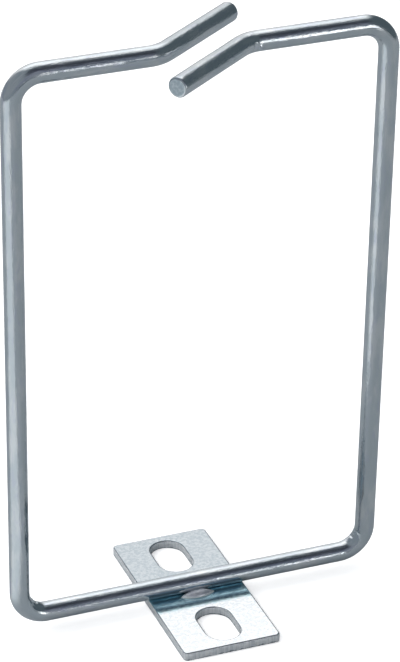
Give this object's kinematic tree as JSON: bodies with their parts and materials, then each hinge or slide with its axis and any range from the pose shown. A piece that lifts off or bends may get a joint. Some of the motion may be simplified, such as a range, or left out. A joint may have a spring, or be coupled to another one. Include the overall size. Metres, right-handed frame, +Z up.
{
  "type": "cable routing ring",
  "caption": "Rectangular ring of bent round wire, open through a slanted gap between its angled free ends, welded upright across a slotted mounting plate, to guide cables.",
  "frame": {"origin": "middle of the underside of the mounting plate", "axes": "+X along the foot of the ring, +Y through the ring and along the plate, +Z up from the plate"},
  "size_m": [0.0788, 0.042, 0.1225],
  "materials": {
    "wire_plating": "bright zinc plating with a blue passivation",
    "plate_plating": "bright zinc plating with a blue passivation, slightly mottled",
    "weld_metal": "plated weld metal, smooth and a little dull"
  },
  "bodies": {
    "root": {"wire_ring": "wire_plating", "mounting_plate": "plate_plating", "weld_beads": "weld_metal"}
  },
  "joints": []
}
